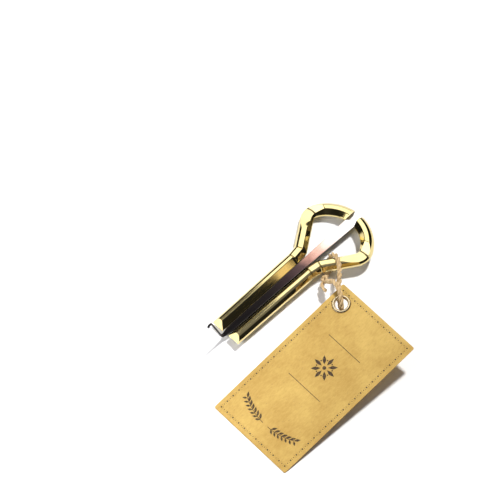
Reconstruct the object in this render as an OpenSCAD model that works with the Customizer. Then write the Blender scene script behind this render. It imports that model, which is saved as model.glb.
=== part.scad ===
// Jaw harp of the Altai kind: a brass bow with a steel reed staked into its ring,
// and a kraft card tag tied to one leg of the bow with jute twine.
// X runs along the harp towards the ring, Z is up, and the harp lies as it does on a
// table: on the left side of its ring, the tip of its left arm and the twine under its
// right leg. The bow's own frame has its arm tips at x = 0 and its underside at z = 0.

/* [Bow] */
// Length of the bow from the tips of its arms to the top of its ring
bow_l = 95; // [85:1:105]
// Outer radius of the round top of the ring
ring_r = 24.5; // [21:0.5:26]
// Centreline radius of the tighter bend where each side of the ring turns into its leg
side_r = 6.2; // [4:0.1:8]
// Width of the bar in the ring and legs
bar_w = 7; // [5:0.1:8]
// Height of the bar
bar_h = 6.4; // [5:0.1:8]
// Width of the flat on top of the bar in the ring and legs
bar_flat = 2.4; // [1:0.1:3]
// Height of the narrow upright side of the bar, between its upper and lower facets
bar_side = 1.2; // [0.4:0.1:2]
// Angle between each leg and the reed
leg_angle = 35; // [25:1:45]
// Length of the slim shoulder between the two creases
shoulder_l = 6.3; // [4:0.1:9]
// Angle between each shoulder and the reed
shoulder_angle = 8; // [2:1:16]

/* [Arms] */
// Distance from the centre of the ring to the crease at the root of each arm
arm_back = 17.3; // [15:0.1:20]
// Width of each arm
arm_w = 7; // [5:0.1:8]
// Width of the flat on top of each arm
arm_flat = 1.4; // [0.8:0.1:2.5]
// Width of the long facet that falls to the inner edge of each arm
arm_facet = 3.1; // [2:0.1:4]
// How far each arm's tip slopes back from its middle to its top
tip_slope = 2.8; // [1:0.1:5]

/* [Planished flats] */
// Depth of the hammered flat on each side of the ring
flat_depth = 1.6; // [0.5:0.1:2.2]
// Diameter of the hammer's face
flat_d = 12.5; // [8:0.5:16]
// Angle round the side bend at which each flat is struck
flat_angle = 106; // [80:1:120]

/* [Reed] */
// Width of the reed where it is staked into the ring
heel_w = 6.1; // [5:0.1:7]
// Width of the reed where it enters between the arms
throat_w = 4.4; // [3:0.1:5]
// Width of the reed near its tip
tip_w = 3.4; // [2:0.1:4]
// Thickness of the reed
reed_t = 0.9; // [0.5:0.05:1.2]
// Gap between the reed and the inner edge of each arm
reed_gap = 0.25; // [0.15:0.05:0.6]
// How far each wall of the reed's groove leans over the reed
groove_lean = 0.5; // [0.2:0.1:0.8]
// Share of the reed's free length at which it flexes, from the ring
flex_share = 0.15; // [0.1:0.01:0.2]
// Gap in the rounded seat where the reed flexes
flex_gap = 0.1; // [0.05:0.05:0.2]

/* [Trigger] */
// Height of the trigger above the middle of the reed
trigger_h = 19.5; // [10:0.5:22]
// Height above the middle of the reed at which the trigger has become slim
slim_h = 7; // [4:0.5:9]
// Angle by which the trigger leans forward from upright
trigger_lean = 15.5; // [0:0.5:30]
// Thickness of the trigger's wire
trigger_d = 1; // [0.7:0.05:1.5]
// Centreline radius of the bend up into the trigger
bend_r = 2; // [1.5:0.1:3]
// Centreline radius of the curl at the trigger's end
curl_r = 1.15; // [0.9:0.05:2]
// Angle through which the trigger's end curls forward
curl_angle = 165; // [90:5:200]

/* [Tag] */
// Length of the card
card_l = 90; // [70:1:100]
// Width of the card
card_w = 50; // [40:1:60]
// Thickness of the card
card_t = 0.5; // [0.3:0.05:0.8]
// Radius of the card's corners
card_corner = 1; // [0.5:0.1:4]
// Height of the tied end of the card above the table
card_rise = 14; // [6:0.5:20]
// Angle by which the card's free end lies turned towards the harp
card_turn = 0.8; // [0:0.1:3]
// Distance of the eyelet from the tied end of the card
eyelet_in = 8.4; // [8:0.1:14]
// Distance of the eyelet from the card's side next to the harp
eyelet_side = 7; // [6:0.1:12]
// Outer diameter of the eyelet
eyelet_d = 9.8; // [8:0.1:12]
// Diameter of the hole through the eyelet
eyelet_bore = 6.5; // [5:0.1:7]
// Thickness of the eyelet's sheet metal
eyelet_t = 0.3; // [0.2:0.05:0.5]
// Height of the eyelet's rounded rim above the card
rim_h = 0.7; // [0.5:0.05:1]
// Thickness of the washer under the card
washer_t = 0.35; // [0.2:0.05:0.5]

/* [Twine] */
// Diameter of the jute twine
twine_d = 2; // [1.5:0.1:3]
// Radius of the middle of the twine's loop round the leg
loop_r = 4.65; // [4.5:0.05:6]
// Distance of the loop from the upper crease, along the leg
loop_at = 6.1; // [4:0.1:10]
// Distance from the leg to the middle of the eyelet
eyelet_reach = 26.8; // [26:0.1:32]
// Diameter of the knot
knot_d = 3.4; // [3:0.1:5]

/* [Hidden] */
$fn = 96;
// How far each cut runs past the face that it opens
overrun = 1;
// Half the height of the bar, where its points and the reed lie
mid_h = bar_h / 2;
// Radius of the middle of the bar round the top of the ring, and where that centre lies
ring_mid_r = ring_r - bar_w / 2;
ring_x = bow_l - ring_r;
// The creases: where each arm meets its shoulder, and each shoulder its leg
arm_l = ring_x - arm_back;
arm_root = [arm_l, throat_w / 2 + reed_gap + arm_w / 2];
arm_tip = [0, tip_w / 2 + reed_gap + arm_w / 2];
arm_angle = atan2(arm_root.y - arm_tip.y, arm_l);
leg_root = arm_root + shoulder_l * [cos(shoulder_angle), sin(shoulder_angle)];
// The leg's line passes this far outside the centre of the ring
leg_dir = [cos(leg_angle), sin(leg_angle)];
leg_out = [-sin(leg_angle), cos(leg_angle)];
leg_offset = (leg_root - [ring_x, 0]) * leg_out;
// The tighter bend touches the leg's line and the round top from inside
side_along = sqrt((ring_mid_r - side_r) ^ 2 - (leg_offset - side_r) ^ 2);
side_c = [ring_x, 0] + side_along * leg_dir + (leg_offset - side_r) * leg_out;
top_angle = atan2(side_c.y, side_c.x - ring_x);
leg_end = side_c + side_r * leg_out;
leg_l = norm(leg_end - leg_root);
// The widths of the sloping facets on both sides of a flat
bar_facet = (bar_w - bar_flat) / 2;
arm_outer_facet = arm_w - arm_flat - arm_facet;
// How far round each bend is drawn past the planes that cut it to length
bend_spare = 6;
// The shoulders and side bends are this much slimmer than the arms, legs and round top,
// and reach this far into them, which leaves a fine step at each crease
crease_step = 0.04;
crease_lap = 0.05;
// A block that is larger than the bow, for cuts by a plane
block = 2 * bow_l;
// The groove for the reed, cut down to the reed's underside
groove_floor = mid_h - reed_t / 2;
groove_depth = bar_h - groove_floor;
groove_w = heel_w + 2 * groove_lean * reed_t / groove_depth;
// The reed runs from the outer edge of the ring to just past the arms' tips
reed_end = bow_l - reed_t / 2;
ring_inner_x = bow_l - bar_w;
flex_x = ring_inner_x - flex_share * ring_inner_x;
// The reed tapers from the ring to the throat and to its tip, then to a slim neck
neck_x = -trigger_d;
tip_x = tip_w;
neck_w = 2 * trigger_d;
function reed_half(x) = x > ring_inner_x ? heel_w / 2
    : x > arm_l ? (throat_w + (heel_w - throat_w) * (x - arm_l) / (ring_inner_x - arm_l)) / 2
    : (tip_w + (throat_w - tip_w) * x / arm_l) / 2;
// The trigger's straight stretch ends where its curl starts
curl_top = curl_r * (1 - sin(trigger_lean));
bend_rise = bend_r * (1 - sin(trigger_lean));
trigger_run = (trigger_h - bend_rise - curl_top - trigger_d / 2) / cos(trigger_lean);
// The harp lies on three points: the side of its ring, an arm's tip and the twine
prop_h = loop_r + twine_d / 2 - mid_h;
loop_pt = leg_root + loop_at * leg_dir;
side_pt = [side_c.x, side_c.y + side_r + bar_flat / 2];
tip_pt = [tip_slope, arm_tip.y - arm_w / 2 + arm_facet + arm_flat];
// Heights rise by fall_x along X and by fall_y towards the right, from a start at the tips
fall_ratio = (side_pt.y - tip_pt.y) / (side_pt.x - tip_pt.x);
fall_y = prop_h
    / (fall_ratio * (loop_pt.x - tip_pt.x) + loop_pt.y + tip_pt.y);
fall_x = fall_ratio * fall_y;
pitch = asin(fall_x);
roll = asin(fall_y / cos(pitch));
lift = fall_y * tip_pt.y - fall_x * tip_pt.x;
// The middle of the harp's length, from the curl of the trigger to the top of the ring
bend_x = neck_x - bend_r * cos(trigger_lean);
curl_front = bend_x - trigger_run * sin(trigger_lean) - curl_r * (1 + cos(trigger_lean));
mid_x = (bow_l + curl_front - reed_t / 2) / 2;
// How far the roll carries the middle of the bow to the left
mid_y = mid_h * sin(roll);
// A point of the bow's frame as it lies on the table
function rolled(p) = [
    p.x, p.y * cos(roll) + p.z * sin(roll), p.z * cos(roll) - p.y * sin(roll)
];
function pitched(p) = [
    p.x * cos(pitch) - p.z * sin(pitch), p.y, p.x * sin(pitch) + p.z * cos(pitch)
];
function laid_pt(p) = pitched(rolled(p)) + [-mid_x, -mid_y, lift];
// The twine's own frame: s runs out from the right leg, w along it and z up
loop_c = laid_pt([loop_pt.x, -loop_pt.y, mid_h]);
out_dir = [-sin(leg_angle), -cos(leg_angle), 0];
along_dir = [cos(leg_angle), -sin(leg_angle), 0];
function twine_pt(p) = loop_c + p[0] * out_dir + p[1] * along_dir + [0, 0, p[2]];
// The twine's route in its own frame, from the knot through the eyelet and round the leg
twine_route = [
    [8.8, -4.7, 0.8], [10.1, -4, 2.1], [11.3, -3.3, 3.9], [12.4, -2.7, 6],
    [13.6, -2.1, 8], [15, -1.6, 9.6], [16.8, -1, 10.6], [18.8, -0.5, 11.1],
    [21, 0, 11.2], [23, 0, 10.7], [25, 0, 9.7], [26.6, 0, 8.1], [27.6, 0, 6.1],
    [27.4, 0, 4], [26.1, 0, 2.3], [24, 0, 1.6], [21.6, 0.1, 2.1], [19.3, 0.3, 3.3],
    [17.1, 0.6, 4.5], [15, 1, 5.3], [12.8, 1.5, 5.7], [10.5, 2, 5.9], [8, 2.5, 5.9],
    [5.4, 2.9, 5.6], [2.6, 3.1, 5.2], [0, 3, 4.9], [-2.4, 2.4, 4.25], [-4.1, 1.3, 2.5],
    [-4.7, 0.3, 0], [-4.15, -0.3, -2.35], [-2.4, -0.6, -4.1], [0, -0.9, -4.65],
    [2.4, -2.1, -4.4], [4.4, -3.6, -3.3], [6, -4.5, -2], [7.2, -4.9, -0.8]
];
knot_at = [8, -4.9, 0.1];
tail_route = [[8, -4.9, 0.1], [9.8, -6.4, -0.3], [12.4, -6.6, 0.3], [15.2, -5.4, 1.4]];
tail_share = 0.8;
tube_sides = 8;
rings_per_point = 2;
// The card lies with its free end on the table and its tied end raised
card_tilt = asin(card_rise / card_l);
eyelet_c = loop_c + eyelet_reach * out_dir;
card_reach = (card_l - eyelet_in) * cos(card_tilt);
card_free = [
    eyelet_c.x - card_reach * cos(card_turn), eyelet_c.y + card_reach * sin(card_turn)
];
barrel_r = eyelet_bore / 2 + eyelet_t;
barrel_gap = 0.05;
lip_w = 0.5;
washer_r = eyelet_d / 2 - 2 * barrel_gap;
rim_step = 18;
// Largest turn between the points of a small arc
arc_step = 12;

// A point of a smooth curve through the points of a route
function smooth_pt(r, i, t) = let (
    n = len(r) - 1,
    a = r[max(i - 1, 0)], b = r[i], c = r[min(i + 1, n)], d = r[min(i + 2, n)]
) 0.5 * (2 * b + (c - a) * t + (2 * a - 5 * b + 4 * c - d) * t ^ 2
    + (3 * b - a - 3 * c + d) * t ^ 3);
function smooth_route(r, steps) = [
    for (i = [0 : len(r) - 2]) for (k = [0 : steps - 1]) smooth_pt(r, i, k / steps),
    r[len(r) - 1]
];
function unit(v) = v / norm(v);
// Points along an arc round a centre, from one angle to another
function arc(c, r, from, to) = let (n = ceil(abs(to - from) / arc_step)) [
    for (k = [0 : n]) let (a = from + (to - from) * k / n) c + r * [cos(a), sin(a)]
];
function heading(r, i) = unit(r[min(i + 1, len(r) - 1)] - r[max(i - 1, 0)]);

// A tube along a route that lies nearly in the plane whose normal is the leg's direction
module tube(route, d) {
    n = len(route);
    sides = tube_sides;
    pts = [
        for (i = [0 : n - 1])
            let (
                h = heading(route, i),
                u = unit(cross(h, along_dir)),
                v = cross(u, h)
            )
            for (k = [0 : sides - 1])
                route[i] + d / 2 * (cos(360 * k / sides) * u + sin(360 * k / sides) * v)
    ];
    walls = [
        for (i = [0 : n - 2]) for (k = [0 : sides - 1])
            let (a = i * sides + k, b = i * sides + (k + 1) % sides)
            each [[a, b, a + sides], [b, b + sides, a + sides]]
    ];
    ends = [
        [for (k = [sides - 1 : -1 : 0]) k],
        [for (k = [0 : sides - 1]) (n - 1) * sides + k]
    ];
    polyhedron(pts, concat(walls, ends));
}

// Places what is drawn in the bow's frame as the harp lies on the table
module laid() {
    translate([-mid_x, -mid_y, lift])
        rotate([-roll, -pitch, 0])
            children();
}

// The outline of the bar in the ring and legs: a flat above and below, an upright side
// on each hand and sloping facets between them, all made slimmer by a step
module bar_outline(step) {
    half_w = bar_w / 2 - step;
    half_h = mid_h - step;
    half_flat = bar_flat / 2 - step;
    half_side = bar_side / 2;
    polygon([
        [-half_w, -half_side], [-half_flat, -half_h], [half_flat, -half_h],
        [half_w, -half_side], [half_w, half_side], [half_flat, half_h],
        [-half_flat, half_h], [-half_w, half_side]
    ]);
}

// The outline of an arm, with a sharp edge and a long facet on its inner side
module arm_outline() {
    half_w = arm_w / 2;
    half_side = bar_side / 2;
    polygon([
        [-half_w, 0], [arm_facet - half_w, -mid_h], [half_w - arm_outer_facet, -mid_h],
        [half_w, -half_side], [half_w, half_side],
        [half_w - arm_outer_facet, mid_h], [arm_facet - half_w, mid_h]
    ]);
}

// A straight bar from a point, turned from the X axis, with its outer side to the left
module bar_run(start, angle, length) {
    translate([start.x, start.y, mid_h])
        rotate([0, 0, angle])
            rotate([90, 0, 90])
                translate([0, 0, -bar_w])
                    linear_extrude(length + 2 * bar_w)
                        children();
}

// The half of space past a plane that stands upright through a point, or past a shift
module past(point, angle, shift = 0) {
    translate([point.x, point.y, -overrun])
        rotate([0, 0, angle])
            translate([shift, -block / 2, 0])
                cube([block, block, bar_h + 2 * overrun]);
}

// A bend of the bar round a centre
module bar_bend(centre, radius, from, to) {
    translate([centre.x, centre.y, 0])
        rotate([0, 0, from])
            rotate_extrude(angle = to - from)
                translate([radius, mid_h])
                    children();
}

// The arm, with a tip that slopes back from its middle
module arm() {
    slope = atan2(mid_h, tip_slope);
    difference() {
        bar_run(arm_tip, arm_angle, arm_l)
            arm_outline();
        past(arm_root, (arm_angle + shoulder_angle) / 2);
        for (side = [0, 1])
            translate([0, -block / 2, mid_h])
                mirror([0, 0, side])
                    rotate([0, -slope, 0])
                        translate([-block / 2, 0, 0])
                            cube([block, block, block / 2]);
    }
}

// The short straight stretch between the two creases
module shoulder() {
    difference() {
        intersection() {
            bar_run(arm_root, shoulder_angle, shoulder_l)
                bar_outline(crease_step);
            past(arm_root, (arm_angle + shoulder_angle) / 2, -crease_lap);
        }
        past(leg_root, (shoulder_angle + leg_angle) / 2, crease_lap);
    }
}

// The leg, from the upper crease to the ring
module leg() {
    difference() {
        intersection() {
            bar_run(leg_root, leg_angle, leg_l)
                bar_outline(0);
            past(leg_root, (shoulder_angle + leg_angle) / 2);
        }
        past(leg_end, leg_angle);
    }
}

// The tighter bend at the side of the ring
module ring_side() {
    intersection() {
        bar_bend(side_c, side_r, top_angle - bend_spare, 90 + leg_angle + bend_spare)
            bar_outline(crease_step);
        past([ring_x, 0], 90 + top_angle, -crease_lap);
        past(leg_end, leg_angle, -crease_lap);
    }
}

// The round top of the ring, between the two tighter bends
module ring_top() {
    difference() {
        bar_bend([ring_x, 0], ring_mid_r, -top_angle - bend_spare, top_angle + bend_spare)
            bar_outline(0);
        for (side = [0, 1])
            mirror([0, side, 0])
                past([ring_x, 0], 90 + top_angle);
    }
}

// The groove across the top of the ring, narrower at its mouth than at its floor
module groove() {
    mouth_w = groove_w - 2 * groove_lean;
    mouth_slope = groove_lean / groove_depth;
    translate([ring_inner_x - overrun, 0, groove_floor])
        rotate([90, 0, 90])
            linear_extrude(bar_w + 2 * overrun)
                polygon([
                    [-groove_w / 2, 0], [groove_w / 2, 0],
                    [mouth_w / 2 - overrun * mouth_slope, groove_depth + overrun],
                    [overrun * mouth_slope - mouth_w / 2, groove_depth + overrun]
                ]);
}

// The mark of a hammer's round face on the side of the ring
module hammer_flat() {
    centre = side_c + side_r * [cos(flat_angle), sin(flat_angle)];
    translate([centre.x, centre.y, bar_h - flat_depth])
        cylinder(d1 = flat_d, d2 = flat_d + 2 * bar_w, h = bar_w);
}

module bow() {
    color("#c9a64a")
        laid()
            difference() {
                union() {
                    ring_top();
                    for (side = [0, 1])
                        mirror([0, side, 0]) {
                            ring_side();
                            leg();
                            shoulder();
                            arm();
                        }
                }
                groove();
                for (side = [0, 1])
                    mirror([0, side, 0])
                        hammer_flat();
            }
}

// A length of the reed between two places, following its taper
module reed_strip(from, to, corners) {
    xs = concat([from], corners, [to]);
    translate([0, 0, groove_floor])
        linear_extrude(reed_t)
            polygon(concat(
                [for (x = xs) [x, reed_half(x)]],
                [for (i = [len(xs) - 1 : -1 : 0]) [xs[i], -reed_half(xs[i])]]
            ));
}

// A round bar across the reed where it flexes
module flex_seat(d, w) {
    translate([flex_x, w / 2, mid_h])
        rotate([90, 0, 0])
            cylinder(d = d, h = w);
}

module reed_heel() {
    color("#b9b6ad")
        laid()
            difference() {
                reed_strip(flex_x, reed_end, [ring_inner_x]);
                flex_seat(reed_t + 2 * flex_gap, 2 * heel_w);
            }
}

module reed_tongue() {
    color("#8f8a84")
        laid()
            union() {
                reed_strip(tip_x, flex_x, [arm_l]);
                flex_seat(reed_t, 2 * reed_half(flex_x));
                translate([0, 0, groove_floor])
                    linear_extrude(reed_t)
                        polygon([
                            [tip_x, reed_half(tip_x)], [tip_x, -reed_half(tip_x)],
                            [neck_x, -neck_w / 2], [neck_x, neck_w / 2]
                        ]);
            }
}

module reed_trigger() {
    curl_start = [
        bend_x - trigger_run * sin(trigger_lean),
        mid_h + bend_rise + trigger_run * cos(trigger_lean)
    ];
    curl_c = curl_start - curl_r * [cos(trigger_lean), sin(trigger_lean)];
    bend_c = [neck_x, mid_h + bend_r];
    curl_end = trigger_lean + curl_angle;
    color("#5a5552")
        laid()
            intersection() {
                // The strip from the side: up through its bend and forward over its curl
                translate([0, neck_w, 0])
                    rotate([90, 0, 0])
                        linear_extrude(2 * neck_w)
                            polygon(concat(
                                arc(bend_c, bend_r + reed_t / 2, 270, 180 + trigger_lean),
                                arc(curl_c, curl_r - reed_t / 2, trigger_lean, curl_end),
                                arc(curl_c, curl_r + reed_t / 2, curl_end, trigger_lean),
                                arc(bend_c, bend_r - reed_t / 2, 180 + trigger_lean, 270)
                            ));
                // The strip from the front: filed slim above its bend
                translate([curl_front - overrun, 0, mid_h])
                    rotate([90, 0, 90])
                        linear_extrude(neck_x - curl_front + overrun)
                            polygon([
                                [-neck_w / 2, -reed_t], [neck_w / 2, -reed_t],
                                [neck_w / 2, bend_r / 2], [trigger_d / 2, slim_h],
                                [trigger_d / 2, trigger_h + overrun],
                                [-trigger_d / 2, trigger_h + overrun],
                                [-trigger_d / 2, slim_h], [-neck_w / 2, bend_r / 2]
                            ]);
            }
}

module tag_twine() {
    color("#b08a56")
        tube([for (p = smooth_route(twine_route, rings_per_point)) twine_pt(p)], twine_d);
}

// The knot that joins the twine's two ends, with one short tail
module twine_knot() {
    color("#a88250")
        union() {
            translate(twine_pt(knot_at))
                sphere(d = knot_d, $fn = 24);
            tube([for (p = smooth_route(tail_route, rings_per_point)) twine_pt(p)],
                tail_share * twine_d);
        }
}

// Places what is drawn in the card's own frame: its free edge at x = 0, the middle of
// the eyelet at y = 0 and its underside at z = 0
module tagged() {
    translate([card_free.x, card_free.y, 0])
        rotate([0, -card_tilt, -card_turn])
            children();
}

module card_outline() {
    inner_l = card_l - 2 * card_corner;
    inner_w = card_w - 2 * card_corner;
    translate([0, eyelet_side - card_w]) {
        translate([card_corner, 0])
            square([inner_l, card_w]);
        translate([0, card_corner])
            square([card_l, inner_w]);
        for (x = [card_corner, card_corner + inner_l])
            for (y = [card_corner, card_corner + inner_w])
                translate([x, y])
                    circle(r = card_corner);
    }
}

module tag_card() {
    color("#c79a55")
        tagged()
            difference() {
                linear_extrude(card_t)
                    card_outline();
                translate([card_l - eyelet_in, 0, -overrun])
                    cylinder(r = barrel_r + barrel_gap, h = card_t + 2 * overrun);
            }
}

// The eyelet: a rounded rim on the card, a barrel through it and a lip turned out below
module tag_eyelet() {
    rim_mid = (eyelet_d + eyelet_bore) / 4;
    rim_half = (eyelet_d - eyelet_bore) / 4;
    color("#c9c2a6")
        tagged()
            translate([card_l - eyelet_in, 0, 0])
                rotate_extrude()
                    polygon(concat(
                        [for (a = [0 : rim_step : 180])
                            [rim_mid + rim_half * cos(a), card_t + rim_h * sin(a)]],
                        [
                            [eyelet_bore / 2, -washer_t - eyelet_t],
                            [barrel_r + lip_w, -washer_t - eyelet_t],
                            [barrel_r + lip_w, -washer_t],
                            [barrel_r, -washer_t],
                            [barrel_r, card_t]
                        ]
                    ));
}

module eyelet_washer() {
    color("#b8b095")
        tagged()
            translate([card_l - eyelet_in, 0, -washer_t])
                difference() {
                    cylinder(r = washer_r, h = washer_t);
                    translate([0, 0, -overrun])
                        cylinder(r = barrel_r + barrel_gap, h = washer_t + 2 * overrun);
                }
}

bow();
reed_heel();
reed_tongue();
reed_trigger();
tag_twine();
twine_knot();
tag_card();
tag_eyelet();
eyelet_washer();
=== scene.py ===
import logging
import math
import random
from dataclasses import dataclass, replace
from enum import Enum
from typing import Iterable, Sequence

import bmesh
import bpy
from mathutils import Matrix, Vector

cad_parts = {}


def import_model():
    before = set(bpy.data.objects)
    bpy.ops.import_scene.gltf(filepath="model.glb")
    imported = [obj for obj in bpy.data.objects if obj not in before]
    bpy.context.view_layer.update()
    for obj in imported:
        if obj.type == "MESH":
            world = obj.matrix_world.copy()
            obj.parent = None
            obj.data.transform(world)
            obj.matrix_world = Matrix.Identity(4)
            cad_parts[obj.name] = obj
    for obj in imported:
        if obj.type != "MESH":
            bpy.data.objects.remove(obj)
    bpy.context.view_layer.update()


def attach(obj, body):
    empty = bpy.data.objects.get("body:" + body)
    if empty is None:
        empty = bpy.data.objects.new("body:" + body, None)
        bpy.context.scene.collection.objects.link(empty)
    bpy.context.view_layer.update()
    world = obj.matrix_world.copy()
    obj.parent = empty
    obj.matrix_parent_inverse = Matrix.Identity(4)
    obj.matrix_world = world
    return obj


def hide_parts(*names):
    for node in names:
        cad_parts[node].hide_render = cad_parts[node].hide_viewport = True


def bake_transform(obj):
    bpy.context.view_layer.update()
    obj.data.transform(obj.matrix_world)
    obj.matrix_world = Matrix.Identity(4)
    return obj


LOG = logging.getLogger("jaw_harp")
MM = 0.001
MERGE = 1e-7

# Places on the table in mm, and turns in degrees
HARP_AT, HARP_PITCH, HARP_ROLL = (-42.3678, -0.282422, 0.525138), 0.901387, 5.06334
CARD_AT, CARD_TURN, CARD_TILT = (-73.9754, -31.1131), 0.8, 8.94902
LOOP_AT, LEG_ANGLE = (21.9953, -10.2853, 5.63712), 35

Spot = tuple[float, float]
Point = tuple[float, float, float]
Colour = tuple[float, float, float, float]
Draft = bmesh.types.BMesh
Material = bpy.types.Material
Piece = bpy.types.Object
Socket = bpy.types.NodeSocket


class Body(Enum):
    """The moving bodies that pieces ride on."""

    HARP = "harp"
    REED = "reed"
    TWINE = "twine"
    TAG = "tag"


class Finish(Enum):
    """The named finishes of the object's record."""

    BOW = "bow_brass"
    REED = "reed_steel"
    TRIGGER = "trigger_steel"
    TWINE = "twine"
    CARD = "card"
    EYELET = "eyelet_metal"


# Shared helpers


def turned(angle: float, axis: str) -> Matrix:
    """Return a turn of an angle in degrees about a named axis."""
    return Matrix.Rotation(math.radians(angle), 4, axis)


def moved(x: float, y: float, z: float = 0.0) -> Matrix:
    """Return a move that is given in mm."""
    return Matrix.Translation(Vector((x, y, z)) * MM)


def ray(angle: float) -> Vector:
    """Return the unit vector at an angle in degrees in the plane."""
    return Vector((math.cos(math.radians(angle)), math.sin(math.radians(angle))))


def upright_ray(angle: float) -> Vector:
    """Return the unit vector at an angle in degrees in the XZ plane."""
    return ray(angle).to_3d().xzy


def laid_frame() -> Matrix:
    """Return the place of the harp on the table, from its own frame in metres."""
    return moved(*HARP_AT) @ turned(-HARP_PITCH, "Y") @ turned(-HARP_ROLL, "X")


def card_frame() -> Matrix:
    """Return the place of the tag's card, from its own frame in metres."""
    return moved(*CARD_AT) @ turned(-CARD_TURN, "Z") @ turned(-CARD_TILT, "Y")


def loop_pt(s: float, w: float, z: float) -> Vector:
    """Return a point of the twine.

    Args:
        s: Distance out from the right leg's axis, in mm.
        w: Distance along the leg, in mm.
        z: Height above the leg's axis, in mm.

    Returns:
        The point in metres.
    """
    out, along = ray(-90 - LEG_ANGLE).to_3d(), ray(-LEG_ANGLE).to_3d()
    return (Vector(LOOP_AT) + s * out + w * along + Vector((0, 0, z))) * MM


def smooth_route(points: Sequence[Sequence[float]], steps: int) -> list[Vector]:
    """Return a smooth curve through a row of points.

    Args:
        points: The points that the curve passes through.
        steps: How many places the curve has from one point to the next.

    Returns:
        The places along the curve.
    """
    row = [Vector(p) for p in points]
    last = len(row) - 1
    route = []
    for i in range(last):
        a, b, c, d = row[max(i - 1, 0)], row[i], row[i + 1], row[min(i + 2, last)]
        for t in (k / steps for k in range(steps)):
            route.append(0.5 * (2 * b + (c - a) * t + (2 * a - 5 * b + 4 * c - d) * t ** 2
                                + (3 * b - a - 3 * c + d) * t ** 3))
    return route + [row[last]]


def even_route(points: Sequence[Vector], step: float) -> list[Vector]:
    """Return places at an even distance along a row of points."""
    places, spare = [points[0].copy()], 0.0
    for a, b in zip(points, points[1:]):
        run = (b - a).length
        at = step - spare
        while at <= run:
            places.append(a.lerp(b, at / run))
            at += step
        spare = run - (at - step)
    return places


def route_frames(points: Sequence[Vector]) -> list[Matrix]:
    """Return a frame at each point, with X along the route, Z first up, and no twist."""
    last = len(points) - 1
    heads = [(points[min(i + 1, last)] - points[max(i - 1, 0)]).normalized()
             for i in range(last + 1)]
    z = Vector((0, 0, 1))
    frames = []
    for i, head in enumerate(heads):
        if i:
            z = heads[i - 1].rotation_difference(head) @ z
        z = (z - z.dot(head) * head).normalized()
        frames.append(Matrix.Translation(points[i])
                      @ Matrix((head, z.cross(head), z)).transposed().to_4x4())
    return frames


def round_outline(radius: float, sides: int) -> list[Vector]:
    """Return a circle in the YZ plane."""
    return [Vector((0, *(radius * ray(360 * k / sides)))) for k in range(sides)]


def filed_outline(corners: Sequence[Spot], cut: float, hold: float = 0.2,
                  steps: int = 3) -> list[Vector]:
    """Return an outline in the YZ plane whose corners are filed round.

    Args:
        corners: The corners of the outline as y and z, in mm.
        cut: How far back along its edges each corner is rounded, in mm.
        hold: How far past each round a point keeps the side flat, in mm.
        steps: The faces in each rounded corner.

    Returns:
        The points of the outline in metres, as many for each corner.
    """
    points = []
    for i, corner in enumerate(corners):
        here, ends = Vector(corner), []
        for beside in (corners[i - 1], corners[(i + 1) % len(corners)]):
            side = Vector(beside) - here
            near = min(cut, side.length / 3)
            ends.append((here + side.normalized() * near,
                         here + side.normalized() * (near + min(hold, side.length / 8))))
        (a, first), (b, last) = ends
        bend = [(1 - t) ** 2 * a + 2 * t * (1 - t) * here + t ** 2 * b
                for t in (k / steps for k in range(steps + 1))]
        points += [first, *bend, last]
    return [Vector((0, p.x, p.y)) * MM for p in points]


def only(geom: Iterable[object], kind: type) -> list:
    """Return the parts of an operator's result that are of one kind."""
    return [g for g in geom if isinstance(g, kind)]


def carry(bm: Draft, outlines: Sequence[Sequence[Vector]], places: Sequence[Matrix]) -> None:
    """Draw a bar by extruding an outline from place to place.

    Args:
        bm: The mesh that gets the bar.
        outlines: The outline at each place, all with one number of points.
        places: The frames that the outline passes through.
    """
    mark = bm.verts.layers.int.get("mark") or bm.verts.layers.int.new("mark")
    verts = []
    for k, p in enumerate(outlines[0]):
        verts.append(bm.verts.new(places[0] @ p))
        verts[-1][mark] = k
    first = edges = [bm.edges.new(pair) for pair in zip(verts, verts[1:] + verts[:1])]
    for outline, place in zip(outlines[1:], places[1:]):
        new = bmesh.ops.extrude_edge_only(bm, edges=edges)["geom"]
        edges = only(new, bmesh.types.BMEdge)
        for v in only(new, bmesh.types.BMVert):
            v.co = place @ outline[v[mark]]
    bmesh.ops.holes_fill(bm, edges=first + edges, sides=0)
    bmesh.ops.recalc_face_normals(bm, faces=bm.faces)


def spun_draft(profile: Iterable[Spot], steps: int, ring: bool) -> Draft:
    """Return a shape that is spun round the Z axis.

    Args:
        profile: The section as radius and height, in mm.
        steps: How many faces go round.
        ring: Whether the section closes on itself.

    Returns:
        The shape, in the making.
    """
    bm = bmesh.new()
    verts = [bm.verts.new((r * MM, 0, z * MM)) for r, z in profile]
    ends = verts[1:] + (verts[:1] if ring else [])
    edges = [bm.edges.new(pair) for pair in zip(verts, ends)]
    bmesh.ops.spin(bm, geom=verts + edges, cent=(0, 0, 0), axis=(0, 0, 1),
                   angle=math.tau, steps=steps, use_merge=True)
    bmesh.ops.remove_doubles(bm, verts=bm.verts, dist=MERGE)
    bmesh.ops.recalc_face_normals(bm, faces=bm.faces)
    return bm


def mesh_of(name: str, bm: Draft) -> bpy.types.Mesh:
    """Return a mesh from one in the making, which is freed."""
    mesh = bpy.data.meshes.new(name)
    bm.to_mesh(mesh)
    bm.free()
    return mesh


def linked(name: str, data: bpy.types.ID) -> Piece:
    """Return a new object in the scene."""
    made = bpy.data.objects.new(name, data)
    bpy.context.scene.collection.objects.link(made)
    return made


def settle(piece: Piece, place: Matrix, crease: float) -> None:
    """Carry a piece's mesh to its place and smooth it, but for edges past an angle."""
    piece.data.transform(place)
    piece.data.shade_smooth()
    piece.data.set_sharp_from_angle(angle=math.radians(crease))


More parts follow.
